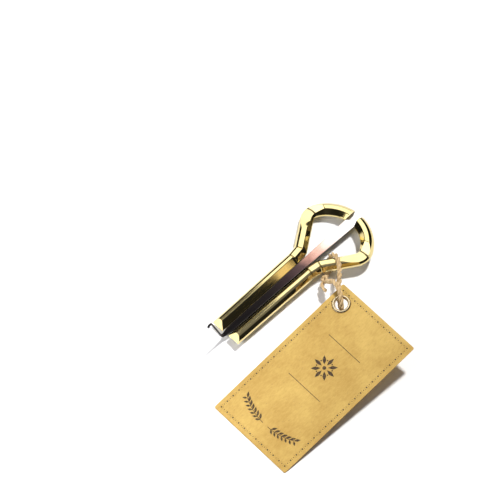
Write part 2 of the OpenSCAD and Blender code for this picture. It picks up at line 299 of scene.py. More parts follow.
def finished(name: str, bm: Draft, material: Material,
             place: Matrix = Matrix(), crease: float = 40) -> Piece:
    """Turn a mesh in the making into a smooth piece at the origin.

    Args:
        name: The piece's name.
        bm: The mesh, which is freed.
        material: What it is dressed in.
        place: The frame that the mesh was drawn in.
        crease: The angle in degrees past which an edge stays sharp.

    Returns:
        The new object.
    """
    piece = linked(name, mesh_of(name, bm))
    settle(piece, place, crease)
    piece.data.materials.append(material)
    return piece


def cut_by(piece: Piece, cutters: Iterable[Draft]) -> None:
    """Cut closed shapes out of a piece and drop them."""
    for k, bm in enumerate(cutters):
        bmesh.ops.recalc_face_normals(bm, faces=bm.faces)
        tool = linked(f"cutter_{k}", mesh_of(f"cutter_{k}", bm))
        cut = piece.modifiers.new("cut", "BOOLEAN")
        cut.operation, cut.solver, cut.object = "DIFFERENCE", "EXACT", tool
        bpy.context.view_layer.update()
        graph = bpy.context.evaluated_depsgraph_get()
        made = bpy.data.meshes.new_from_object(piece.evaluated_get(graph))
        piece.modifiers.remove(cut)
        old, piece.data = piece.data, made
        bpy.data.meshes.remove(old)
        bpy.data.meshes.remove(tool.data)


# Node groups and materials


class Nodes:
    """A small builder for the nodes of one tree."""

    def __init__(self, tree: bpy.types.NodeTree) -> None:
        """Start with an empty tree."""
        self.tree = tree
        tree.nodes.clear()

    def add(self, kind: str, **values: object) -> bpy.types.Node:
        """Add a node and set its properties and sockets.

        Args:
            kind: The node's type.
            values: Properties by name, and sockets as in_NAME with _ for a space.

        Returns:
            The new node.
        """
        node = self.tree.nodes.new(kind)
        for key, value in values.items():
            if key.startswith("in_"):
                self.feed(node, key[3:], value)
            else:
                setattr(node, key, value)
        return node

    def feed(self, node: bpy.types.Node, key: str, value: object) -> None:
        """Give a socket a value or a link."""
        socket = node.inputs[int(key)] if key.isdigit() else node.inputs[key.replace("_", " ")]
        if isinstance(value, Socket):
            self.tree.links.new(value, socket)
        else:
            socket.default_value = value

    def math(self, operation: str, a: object, b: object) -> Socket:
        """Return the result of a sum on two values."""
        return self.add("ShaderNodeMath", operation=operation, in_0=a, in_1=b).outputs[0]

    def total(self, a: Socket, share_a: float, b: Socket, share_b: float) -> Socket:
        """Return the sum of a share of each of two values."""
        return self.math("ADD", self.math("MULTIPLY", a, share_a),
                         self.math("MULTIPLY", b, share_b))

    def ramp(self, factor: Socket, stops: Sequence[tuple[float, Colour]]) -> Socket:
        """Return a colour from a ramp with the given stops."""
        node = self.add("ShaderNodeValToRGB", in_Fac=factor)
        while len(node.color_ramp.elements) < len(stops):
            node.color_ramp.elements.new(0.5)
        for element, (at, colour) in zip(node.color_ramp.elements, stops):
            element.position, element.color = at, colour
        return node.outputs["Color"]

    def mix(self, factor: object, a: object, b: object) -> Socket:
        """Return a mix of two colours."""
        return self.add("ShaderNodeMix", data_type="RGBA", in_0=factor, in_6=a,
                        in_7=b).outputs[2]

    def spread(self, value: Socket, low: float, high: float, to: Spot = (0, 1)) -> Socket:
        """Return a value carried from one range to another."""
        return self.add("ShaderNodeMapRange", in_Value=value, in_From_Min=low,
                        in_From_Max=high, in_To_Min=to[0], in_To_Max=to[1]).outputs[0]

    def where(self, kind: str = "Object") -> Socket:
        """Return the texture coordinates of one kind."""
        return self.add("ShaderNodeTexCoord").outputs[kind]

    def axis(self, kind: str, name: str) -> Socket:
        """Return one axis of the texture coordinates of one kind."""
        return self.add("ShaderNodeSeparateXYZ", in_Vector=self.where(kind)).outputs[name]

    def drawn_out(self, vector: Socket, share: float) -> Socket:
        """Return coordinates that stretch a pattern along X."""
        return self.add("ShaderNodeVectorMath", operation="MULTIPLY", in_0=vector,
                        in_1=(share, 1, 1)).outputs[0]

    def noise(self, vector: Socket, scale: object, detail: float,
              rough: float = 0.5) -> Socket:
        """Return a noise over the given coordinates."""
        return self.add("ShaderNodeTexNoise", in_Vector=vector, in_Scale=scale,
                        in_Detail=detail, in_Roughness=rough).outputs["Fac"]

    def bump(self, height: Socket, strength: float, distance: float) -> Socket:
        """Return a normal that a height tilts."""
        return self.add("ShaderNodeBump", in_Strength=strength, in_Distance=distance,
                        in_Height=height).outputs[0]


def grey(value: float) -> Colour:
    """Return a grey of one value."""
    return (value, value, value, 1)


def wear_group() -> bpy.types.NodeTree:
    """Return the shared group of fine marks that rubbing leaves on metal.

    Returns:
        A group that gives a mask of fine scratches, a mask of broad cloudiness and
        a height for a bump.
    """
    found = bpy.data.node_groups.get("Rubbed metal")
    if found:
        return found
    tree = bpy.data.node_groups.new("Rubbed metal", "ShaderNodeTree")
    for name, way, kind in (("Vector", "INPUT", "Vector"), ("Grain", "INPUT", "Float"),
                            ("Scratches", "OUTPUT", "Float"), ("Clouds", "OUTPUT", "Float"),
                            ("Height", "OUTPUT", "Float")):
        tree.interface.new_socket(name, in_out=way, socket_type="NodeSocket" + kind)
    nodes = Nodes(tree)
    given = nodes.add("NodeGroupInput").outputs
    fine = nodes.noise(nodes.drawn_out(given["Vector"], 0.06), given["Grain"], 4, 0.7)
    waves = nodes.noise(given["Vector"], 70, 1, 0.4)
    nodes.add("NodeGroupOutput", in_Scratches=fine,
              in_Clouds=nodes.noise(given["Vector"], 160, 3, 0.55),
              in_Height=nodes.math("ADD", nodes.math("MULTIPLY", fine, 0.03), waves))
    return tree


@dataclass(frozen=True)
class Surface:
    """A finish, which says what feeds the sockets of its shader."""

    name: str

    def sockets(self, nodes: Nodes) -> dict[str, object]:
        """Return what feeds each socket."""
        raise NotImplementedError

    def make(self) -> Material:
        """Return the material."""
        material = bpy.data.materials.new(self.name)
        material.use_nodes = True
        nodes = Nodes(material.node_tree)
        shader = nodes.add("ShaderNodeBsdfPrincipled")
        nodes.add("ShaderNodeOutputMaterial", in_Surface=shader.outputs[0])
        for key, value in self.sockets(nodes).items():
            nodes.feed(shader, key, value)
        return material


@dataclass(frozen=True)
class Metal(Surface):
    """A bare metal with the fine marks of filing and rubbing."""

    bright: Colour = grey(0.5)
    dull: Colour = grey(0.2)
    cloudy: float = 0.5
    grain: float = 1400
    rough: Spot = (0.16, 0.3)
    rough_by: str = "Scratches"
    relief: float = 0.0

    def colour(self, nodes: Nodes, marks: bpy.types.Node) -> Socket:
        """Return the colour, which is duller where the metal is clouded."""
        return nodes.mix(nodes.math("MULTIPLY", marks.outputs["Clouds"], self.cloudy),
                         self.bright, self.dull)

    def sockets(self, nodes: Nodes) -> dict[str, object]:
        """Return what feeds each socket."""
        marks = nodes.add("ShaderNodeGroup", node_tree=wear_group(),
                          in_Vector=nodes.where(), in_Grain=self.grain)
        given = {"Base_Color": self.colour(nodes, marks), "Metallic": 1.0,
                 "Roughness": self.rough[0]}
        if self.rough[1] > self.rough[0]:
            given["Roughness"] = nodes.spread(marks.outputs[self.rough_by], 0.3, 0.7, self.rough)
        if self.relief:
            given["Normal"] = nodes.bump(marks.outputs["Height"], self.relief, 0.001)
        return given


@dataclass(frozen=True)
class PolishedBrass(Metal):
    """Yellow brass, filed to facets and polished by hand."""

    name: str = "polished_brass"
    bright: Colour = (0.82, 0.69, 0.34, 1)
    dull: Colour = (0.62, 0.48, 0.17, 1)
    cloudy: float = 0.55
    grain: float = 900
    rough: Spot = (0.05, 0.10)
    relief: float = 0.03


@dataclass(frozen=True)
class TemperedSteel(Metal):
    """Ground spring steel, coloured along the harp: nearly black at the tip, a salmon band, and
    pale at the heel.
    """

    name: str = "tempered_steel"
    stops: tuple[tuple[float, Colour], ...] = (
        (0.0, (0.010, 0.009, 0.009, 1)), (0.32, (0.016, 0.013, 0.013, 1)),
        (0.46, (0.036, 0.024, 0.024, 1)), (0.57, (0.09, 0.055, 0.052, 1)),
        (0.63, (0.42, 0.22, 0.17, 1)), (0.71, (0.72, 0.44, 0.35, 1)),
        (0.78, (0.85, 0.76, 0.66, 1)), (1.0, (0.86, 0.85, 0.83, 1)),
    )
    span: Spot = (-0.0425, 0.0525)
    drift: float = 0.10
    # Painted shade: the nearly black colour painted on faces that don't face up, and the range
    # of upward lean over which it fades out.
    side: Colour = (0.012, 0.011, 0.012, 1)
    facing: Spot = (0.55, 0.92)
    # Painted highlight: the pale colour painted along the strip's edges, and how much of it
    # shows.
    wear_and_glint: Colour = (0.42, 0.40, 0.34, 1)
    wear_and_glint_level: float = 0.8
    rough: Spot = (0.16, 0.26)
    relief: float = 0.07

    def colour(self, nodes: Nodes, marks: bpy.types.Node) -> Socket:
        """Return the colour by its place along the harp, with painted shade that turns the sides
        nearly black and a painted highlight along the top's edges.
        """
        stray = nodes.math("SUBTRACT", marks.outputs["Clouds"], 0.5)
        along = nodes.math("ADD", nodes.spread(nodes.axis("Object", "X"), *self.span),
                           nodes.math("MULTIPLY", stray, self.drift))
        # Painted highlight: points near the strip's edges take a pale colour.
        edge_glint = nodes.add("ShaderNodeAttribute", attribute_name="wear_and_glint").outputs["Fac"]
        top = nodes.mix(nodes.math("MULTIPLY", edge_glint, self.wear_and_glint_level),
                        nodes.ramp(along, self.stops), self.wear_and_glint)
        # Painted shade: faces that don't face up turn nearly black.
        return nodes.mix(nodes.spread(nodes.axis("Normal", "Z"), *self.facing), self.side, top)


@dataclass(frozen=True)
class BlackSteel(Metal):
    """Steel that heat and bending have turned nearly black."""

    name: str = "black_steel"
    bright: Colour = (0.022, 0.022, 0.026, 1)
    dull: Colour = (0.06, 0.05, 0.05, 1)
    cloudy: float = 0.4
    rough: Spot = (0.34, 0.34)


@dataclass(frozen=True)
class EyeletMetal(Metal):
    """Pale plated metal, rolled from thin sheet."""

    name: str = "eyelet_metal"
    bright: Colour = (0.68, 0.56, 0.35, 1)
    dull: Colour = (0.40, 0.30, 0.15, 1)
    grain: float = 1500
    rough_by: str = "Clouds"


@dataclass(frozen=True)
class Jute(Surface):
    """Natural jute fibre, laid in plies."""

    name: str = "jute"
    dark: Colour = (0.29, 0.17, 0.065, 1)
    light: Colour = (0.62, 0.44, 0.22, 1)
    bleached: Colour = (0.82, 0.66, 0.44, 1)

    def sockets(self, nodes: Nodes) -> dict[str, object]:
        """Return what feeds each socket."""
        fibres = nodes.noise(nodes.where(), 2600, 3, 0.7)
        shade = nodes.total(fibres, 0.7, nodes.noise(nodes.where(), 420, 2), 0.5)
        stops = ((0.35, self.dark), (0.62, self.light), (0.85, self.bleached))
        return {"Base_Color": nodes.ramp(shade, stops), "Roughness": 0.85,
                "Sheen_Weight": 0.25, "Normal": nodes.bump(fibres, 0.6, 0.0002)}


@dataclass(frozen=True)
class KraftCard(Surface):
    """Uncoated kraft board with fine fibres and flecks."""

    name: str = "kraft_card"
    dark: Colour = (0.445, 0.275, 0.072, 1)
    light: Colour = (0.61, 0.415, 0.125, 1)
    fleck: Colour = (0.30, 0.18, 0.08, 1)

    def sockets(self, nodes: Nodes) -> dict[str, object]:
        """Return what feeds each socket."""
        laid = nodes.drawn_out(nodes.where(), 0.35)
        fibres = nodes.noise(laid, 1100, 5, 0.75)
        shade = nodes.total(nodes.noise(nodes.where(), 60, 4, 0.6), 0.55, fibres, 0.45)
        cells = nodes.add("ShaderNodeTexVoronoi", in_Vector=laid, in_Scale=700)
        flecks = nodes.math("LESS_THAN", cells.outputs["Distance"], 0.12)
        base = nodes.ramp(shade, ((0.36, self.dark), (0.64, self.light)))
        return {"Base_Color": nodes.mix(nodes.math("MULTIPLY", flecks, 0.35), base, self.fleck),
                "Roughness": 0.78, "Specular_IOR_Level": 0.3,
                "Normal": nodes.bump(fibres, 0.25, 0.0001)}


@dataclass(frozen=True)
class PrintInk(Surface):
    """Dark brown ink, a little worn where the board's fibres show through."""

    name: str = "print_ink"
    dark: Colour = (0.045, 0.028, 0.016, 1)
    wear_and_glint: Colour = (0.22, 0.14, 0.07, 1)

    def sockets(self, nodes: Nodes) -> dict[str, object]:
        """Return what feeds each socket."""
        wear_and_glint_level = nodes.noise(nodes.where(), 1500, 3)
        return {"Base_Color": nodes.ramp(wear_and_glint_level, ((0.5, self.dark), (0.78, self.wear_and_glint))),
                "Roughness": 0.7}


@dataclass(frozen=True)
class PaleFloor(Surface):
    """The plain pale floor of the studio."""

    name: str = "pale_floor"
    colour: Colour = (0.90, 0.90, 0.905, 1)

    def sockets(self, nodes: Nodes) -> dict[str, object]:
        """Return what feeds each socket."""
        return {"Base_Color": self.colour, "Roughness": 0.9, "Specular_IOR_Level": 0.1}


# The harp


@dataclass(frozen=True)
class Station:
    """A section of the bar: its place, its run's heading and how it leans off square."""

    point: Vector
    heading: float
    lean: float = 0.0
    arm: float = 0.0
    leg: float = 1.0
    nick: float = 0.0

    def mirrored(self) -> "Station":
        """Return the same section on the right side, met on the way back."""
        return replace(self, point=Vector((self.point.x, -self.point.y)),
                       heading=-180 - self.heading, lean=-self.lean)

    def place(self, height: float) -> Matrix:
        """Return the frame of the section at a height in mm."""
        return (moved(*self.point, height) @ turned(self.heading + self.lean, "Z")
                @ Matrix.Diagonal((1, 1 / math.cos(math.radians(self.lean)), 1, 1)))


@dataclass(frozen=True)
class Section:
    """The bar's facets, from its inner side out. Sizes in mm."""

    inner: float
    flat: float
    inner_side: float
    side: float
    file_w: float = 1.1
    file_h: float = 0.58


@dataclass
class Bow:
    """The facetted brass bar, bent to a ring with two straight arms. Sizes in mm."""

    length: float = 95
    ring_mid_r: float = 21
    side_r: float = 6.2
    bar_w: float = 7
    bar_h: float = 6.4
    bar_side: float = 1.2
    arm: Section = Section(3.1, 1.4, 0.06, 1.0)
    leg: Section = Section(2.15, 2.6, 0.6, 0.6, 1.0, 0.55)
    ring: Section = Section(2.5, 2.0, 0.6, 0.6, 1.5, 1.05)
    shoulder_angle: float = 8
    arm_root: Spot = (53.2, 5.95)
    arm_tip: Spot = (0, 5.45)
    leg_root: Spot = (59.4387, 6.82679)
    top_angle: float = 57.8061
    side_c: Spot = (78.3852, 12.5245)
    shoulder_in: float = 1.1
    bend_in: float = 1.7
    tip_slope: float = 2.8
    edge: float = 0.25
    spare: float = 1

    # The hammer's mark
    flat_depth: float = 1.25
    flat_run: float = 1.5
    flat_reach: float = 11
    flat_angle: float = 106
    flat_rise: float = 0.55
    flat_clear: float = 6

    # The groove for the reed
    groove_floor: float = 2.75
    groove_half: float = 3.17
    groove_lean: float = 0.5

    # The fine line at each crease
    nick: float = 0.07
    nick_half: float = 0.04
    nick_reach: float = 0.42

    @property
    def ring_x(self) -> float:
        """Return the place of the ring's centre."""
        return self.length - self.ring_mid_r - self.bar_w / 2

    def outline(self, cut: Section) -> list[Vector]:
        """Return the outline of the bar with its facets, its outer side towards +Y."""
        half, mid = self.bar_w / 2, self.bar_h / 2
        a, b = cut.inner - half, cut.inner + cut.flat - half
        c, low, under = b + cut.file_w, mid - cut.file_h, self.bar_side / 2
        return filed_outline([(-half, -cut.inner_side), (a, -mid), (b, -mid),
                              ((b + half) / 2, -(mid + under) / 2), (half, -under),
                              (half, cut.side), (c, low), (b, mid), (a, mid),
                              (-half, cut.inner_side)], self.edge)

    def crease(self, at: Vector, before: float, after: float,
               arm: float = 0.0) -> list[Station]:
        """Return the sections of a sharp bend, with a fine line filed round the bar."""
        lean = (after - before) / 2
        far, near = self.nick_reach, self.nick_half
        return [Station(at - far * ray(before), before, lean, arm),
                Station(at - near * ray(before), before, lean, arm, nick=self.nick),
                Station(at + near * ray(after), after, -lean, nick=self.nick),
                Station(at + far * ray(after), after, -lean)]

    def stations(self) -> list[Station]:
        """Return the sections along the left side, from the arm's tip to the ring's top."""
        tip, root, leg = Vector(self.arm_tip), Vector(self.arm_root), Vector(self.leg_root)
        ring, side = Vector((self.ring_x, 0)), Vector(self.side_c)
        arm_angle = math.degrees(math.atan2(root.y - tip.y, root.x))
        run = (root - tip).length
        bend = self.shoulder_angle
        rows = [Station(tip + d * ray(arm_angle), arm_angle, arm=1)
                for d in [-self.spare] + [run * k / 10 for k in range(1, 10)]
                + [run - self.spare]]
        rows += self.crease(root, arm_angle, bend, 1)
        rows += [Station(root + self.shoulder_in * ray(bend), bend),
                 Station(leg - self.bend_in * ray(bend), bend)]
        rows += self.crease(leg, bend, LEG_ANGLE)
        start = leg + self.bend_in * ray(LEG_ANGLE)
        end = side + self.side_r * ray(90 + LEG_ANGLE)
        rows += [Station(start.lerp(end, k / 12), LEG_ANGLE) for k in range(12)]
        for k in range(21):
            a = 90 + LEG_ANGLE + (self.top_angle - 90 - LEG_ANGLE) * k / 20
            rows.append(Station(side + self.side_r * ray(a), a - 90))
        for k in range(1, 49):
            a = self.top_angle * (1 - k / 48)
            rows.append(Station(ring + self.ring_mid_r * ray(a), a - 90,
                                leg=max(0.0, 1 - k / 12)))
        return rows

    def draw_bar(self, bm: Draft) -> None:
        """Draw the whole bar from the left arm's tip round to the right arm's tip."""
        arm, leg, ring = (self.outline(cut) for cut in (self.arm, self.leg, self.ring))
        left = self.stations()
        rows = left + [row.mirrored() for row in reversed(left[:-1])]
        outlines = []
        for row in rows:
            squeeze = Vector((1, 1 - row.nick / 4, 1 - row.nick))
            outlines.append([c.lerp(b, row.leg).lerp(a, row.arm) * squeeze
                             for a, b, c in zip(arm, leg, ring)])
        carry(bm, outlines, [row.place(self.bar_h / 2) for row in rows])

    def hammer(self, side: int) -> Draft:
        """Return the shape that one blow of the hammer takes out of the ring's side."""
        floor = self.bar_h - self.flat_depth
        rise, flat, reach = self.flat_depth * self.flat_rise, self.flat_run, self.flat_reach
        face = [(flat + (reach - flat) * t, floor + rise * (1 - math.cos(math.pi * t)))
                for t in (k / 16 for k in range(17))]
        bm = spun_draft([(0, floor), *face, (reach, floor + self.flat_clear),
                         (0, floor + self.flat_clear)], 64, False)
        at = Vector(self.side_c) + self.side_r * ray(self.flat_angle)
        bmesh.ops.transform(bm, verts=bm.verts, matrix=moved(at.x, side * at.y))
        return bm

    def slope_tips(self, bm: Draft) -> None:
        """Cut both faces of each arm's tip back from its middle."""
        for up in (1, -1):
            normal = Vector((-self.bar_h / 2, 0, up * self.tip_slope)).normalized()
            cut = bmesh.ops.bisect_plane(
                bm, geom=bm.verts[:] + bm.edges[:] + bm.faces[:], dist=MERGE,
                plane_co=Vector((0, 0, self.bar_h / 2 * MM)), plane_no=normal,
                clear_outer=True)["geom_cut"]
            rim = [e for e in only(cut, bmesh.types.BMEdge) if e.is_boundary]
            bmesh.ops.holes_fill(bm, edges=rim, sides=0)

    def groove(self) -> Draft:
        """Return the dovetail that is cut across the ring for the reed."""
        bm = bmesh.new()
        bmesh.ops.create_cube(bm, size=1)
        depth = self.bar_h - self.groove_floor
        flare = self.groove_lean * (depth + self.spare) / depth
        for v in bm.verts:
            top = v.co.z > 0
            v.co = Vector((self.length - self.bar_w / 2
                           + v.co.x * 2 * (self.bar_w / 2 + self.spare),
                           math.copysign(self.groove_half - flare * top, v.co.y),
                           self.bar_h + self.spare if top else self.groove_floor)) * MM
        return bm

    def build(self, brass: Material) -> Piece:
        """Return the finished bow, which stands for its node."""
        bm = bmesh.new()
        self.draw_bar(bm)
        self.slope_tips(bm)
        bmesh.ops.recalc_face_normals(bm, faces=bm.faces)
        bow = finished("brass_bow", bm, brass)
        cut_by(bow, [self.groove(), self.hammer(1), self.hammer(-1)])
        settle(bow, laid_frame(), 20)
        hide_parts("bow")
        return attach(bow, Body.HARP.value)


@dataclass
class Reed:
    """The steel tongue and its trigger, one strip from ring to curl. Sizes in mm."""

    length: float = 95
    ring_inner: float = 88
    arm_root: float = 53.2
    heel_w: float = 6.1
    throat_w: float = 4.4
    tip_w: float = 3.4
    thick: float = 0.9
    mid_h: float = 3.2
    wire: float = 1.0
    bend_r: float = 2.0
    curl_r: float = 1.15
    lean: float = 15.5
    height: float = 19.5
    slim_h: float = 7
    curl: float = 165
    flex_at: float = 74.8
    flex_half: float = 6
    # The width of the painted highlight along the strip's edges.
    glint_w: float = 0.12
    edge: float = 0.16

    def half_width(self, x: float) -> float:
        """Return half the strip's width at a place along the harp."""
        if x > self.ring_inner:
            return self.heel_w / 2
        if x > self.arm_root:
            share = (x - self.arm_root) / (self.ring_inner - self.arm_root)
            return (self.throat_w + (self.heel_w - self.throat_w) * share) / 2
        if x > self.tip_w:
            return (self.tip_w + (self.throat_w - self.tip_w) * x / self.arm_root) / 2
        share = (x + self.wire) / (self.tip_w + self.wire)
        end = (self.tip_w + (self.throat_w - self.tip_w) * self.tip_w / self.arm_root) / 2
        return self.wire + (end - self.wire) * max(share, 0)

    def trigger_half(self, z: float) -> float:
        """Return half the trigger's width at a height above the reed's middle."""
        low, high = self.bend_r / 2 - self.mid_h, self.slim_h - self.mid_h
        share = min(max((z - low) / (high - low), 0), 1)
        return self.wire + (self.wire / 2 - self.wire) * share

    def route(self) -> list[tuple[Vector, float, float]]:
        """Return places along the strip as a point, a pitch in degrees and half a width."""
        end = self.length - self.thick / 2
        xs = [end, end - 0.3] + [self.ring_inner + (self.tip_w - self.ring_inner) * k / 40
                                 for k in range(41)]
        xs += [self.tip_w - 0.4 * k for k in range(1, 10)] + [-self.wire]
        rows = [(Vector((x, 0, 0)), 0.0, self.half_width(x)) for x in xs]
        centre, up = Vector((-self.wire, 0, self.bend_r)), 90 - self.lean
        for a in (up * k / 10 for k in range(1, 11)):
            p = centre + self.bend_r * upright_ray(-90 - a)
            rows.append((p, a, self.trigger_half(p.z)))
        lean = math.radians(self.lean)
        run = (self.height - (self.bend_r + self.curl_r) * (1 - math.sin(lean))
               - self.wire / 2) / math.cos(lean)
        foot = rows[-1][0]
        for k in range(1, 13):
            p = foot + upright_ray(90 + self.lean) * run * k / 12
            rows.append((p, up, self.trigger_half(p.z)))
        centre = rows[-1][0] - self.curl_r * upright_ray(self.lean)
        for a in (self.curl * k / 16 for k in range(1, 17)):
            rows.append((centre + self.curl_r * upright_ray(self.lean + a), up - a,
                         self.wire / 2))
        return rows

    def strip(self, rows: Sequence[tuple[Vector, float, float]]) -> Draft:
        """Return a stretch of the strip with softened edges."""
        bm = bmesh.new()
        half = self.thick / 2
        carry(bm, [filed_outline([(-wide, -half), (wide, -half), (wide, half), (-wide, half)],
                                 self.edge, 0.1) for _, _, wide in rows],
              [moved(p.x, p.y, p.z + self.mid_h) @ turned(180, "Z") @ turned(-pitch, "Y")
               for p, pitch, _ in rows])
        # Mark the points near the edges, where a pale highlight is painted.
        wear_and_glint = bm.verts.layers.float.new("wear_and_glint")
        for v in bm.verts:
            inset = self.half_width(v.co.x / MM) - abs(v.co.y) / MM
            v[wear_and_glint] = float(inset < self.glint_w)
        return bm

    def build(self, steel: Material, black: Material) -> list[Piece]:
        """Return the reed and its trigger; the real reed bends where it leaves the ring, but
        this piece is made still.
        """
        rows = self.route()
        split = next(i for i, row in enumerate(rows) if row[1] > 0)
        reed = finished("steel_reed", self.strip(rows[:split]), steel,
                        laid_frame(), 50)
        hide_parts("reed_heel", "reed_tongue")
        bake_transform(reed)
        trigger = finished("steel_trigger", self.strip(rows[split - 2:]), black,
                           laid_frame(), 50)
        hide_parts("reed_trigger")
        return [reed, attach(trigger, Body.REED.value)]


# The twine


@dataclass
class Twine:
    """The jute twine that ties the tag on, laid from two plies. Sizes in mm."""

    diameter: float = 2.0
    ply_out: float = 0.31
    ply_r: float = 0.37
    lay: float = 6.5
    step: float = 0.32
    route: tuple[Point, ...] = (
        (8.8, -4.7, 0.8), (10.1, -4, 2.1), (11.3, -3.3, 3.9), (12.4, -2.7, 6),
        (13.6, -2.1, 8), (15, -1.6, 9.6), (16.8, -1, 10.6), (18.8, -0.5, 11.1),
        (21, 0, 11.2), (23, 0, 10.7), (25, 0, 9.7), (26.6, 0, 8.1), (27.6, 0, 6.1),
        (27.4, 0, 4), (26.1, 0, 2.3), (24, 0, 1.6), (21.6, 0.1, 2.1), (19.3, 0.3, 3.3),
        (17.1, 0.6, 4.5), (15, 1, 5.3), (12.8, 1.5, 5.7), (10.5, 2, 5.9), (8, 2.5, 5.9),
        (5.4, 2.9, 5.6), (2.6, 3.1, 5.2), (0, 3, 4.9), (-2.4, 2.4, 4.25), (-4.1, 1.3, 2.5),
        (-4.7, 0.3, 0), (-4.15, -0.3, -2.35), (-2.4, -0.6, -4.1), (0, -0.9, -4.65),
        (2.4, -2.1, -4.4), (4.4, -3.6, -3.3), (6, -4.5, -2), (7.2, -4.9, -0.8),
    )
    knot_at: Point = (8, -4.9, 0.1)
    knot_r: float = 1.15
    knot_h: float = 1.4
    knot_turns: float = 1.6
    knot_ply: float = 0.7
    tail: tuple[Point, ...] = ((9.8, -6.4, -0.3), (12.4, -6.6, 0.3), (15.2, -5.4, 1.4))
    fibres: int = 120
    knot_fibres: int = 24
    fibre_r: Spot = (0.045, 0.008)
    fibre_at: float = 0.42

    def plies(self, bm: Draft, path: Sequence[Vector], diameter: float) -> None:
        """Draw two plies that wind round a path.

        Args:
            bm: The mesh that gets them.
            path: The middle line in metres, with even steps.
            diameter: The diameter of the laid twine, in mm.
        """
        circle = round_outline(diameter * self.ply_r * MM, 10)
        for start in (0, 0.5):
            line = []
            for i, frame in enumerate(route_frames(path)):
                turn = ray(360 * (start + i * self.step / self.lay))
                line.append(frame @ Vector((0, *(turn * diameter * self.ply_out * MM))))
            carry(bm, [circle] * len(line), route_frames(line))

    def fray(self, bm: Draft, path: Sequence[Vector], count: int,
             dice: random.Random) -> None:
        """Stand loose fibres out of the twine along its path."""
        frames = route_frames(path)
        for _ in range(count):
            frame = frames[dice.randrange(2, len(frames) - 2)]
            a, lean = dice.uniform(0, math.tau), dice.uniform(0.9, 1.4)
            long = dice.uniform(0.5, 1.3)
            new = bmesh.ops.create_cone(
                bm, segments=3, radius1=self.fibre_r[0] * MM, radius2=self.fibre_r[1] * MM,
                depth=long * MM, cap_ends=True)["verts"]
            stand = (frame @ Matrix.Rotation(a, 4, "X")
                     @ moved(0, 0, self.diameter * self.fibre_at)
                     @ Matrix.Rotation(lean * dice.choice((-1, 1)), 4, "Y")
                     @ moved(0, 0, long / 2))
            bmesh.ops.transform(bm, matrix=stand, verts=new)

    def laid(self, name: str, path: Sequence[Vector], diameter: float, count: int,
             jute: Material, dice: random.Random) -> Piece:
        """Return a length of finished twine.

        Args:
            name: The piece's name.
            path: The middle line in metres, with even steps.
            diameter: The diameter of the laid twine, in mm.
            count: How many loose fibres it has.
            jute: What it is dressed in.
            dice: What places the fibres.

        Returns:
            The finished piece.
        """
        bm = bmesh.new()
        self.plies(bm, path, diameter)
        self.fray(bm, path, count, dice)
        return finished(name, bm, jute, crease=60)

    def build(self, jute: Material) -> list[Piece]:
        """Return the finished twine and its knot."""
        dice = random.Random(7)
        line = smooth_route([loop_pt(*p) for p in self.route], 8)
        twine = self.laid("jute_twine", even_route(line, self.step * MM), self.diameter,
                          self.fibres, jute, dice)
        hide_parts("tag_twine")
        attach(twine, Body.TWINE.value)
        knot = self.build_knot(jute, dice)
        return [twine, knot]

    def build_knot(self, jute: Material, dice: random.Random) -> Piece:
        """Return the knot, two turns of twine with one short tail."""
        at, turns = Vector(self.knot_at), []
        for t in (k / 24 for k in range(25)):
            side = self.knot_r * ray(360 * self.knot_turns * t)
            turns.append(at + Vector((*side, self.knot_h * (t - 0.5))))
        rows = turns[::-1] + list(self.tail)
        path = even_route(smooth_route([loop_pt(*p) for p in rows], 6), self.step * MM)
        knot = self.laid("jute_knot", path, self.diameter * self.knot_ply,
                         self.knot_fibres, jute, dice)
        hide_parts("twine_knot")
        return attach(knot, Body.TWINE.value)


# The tag


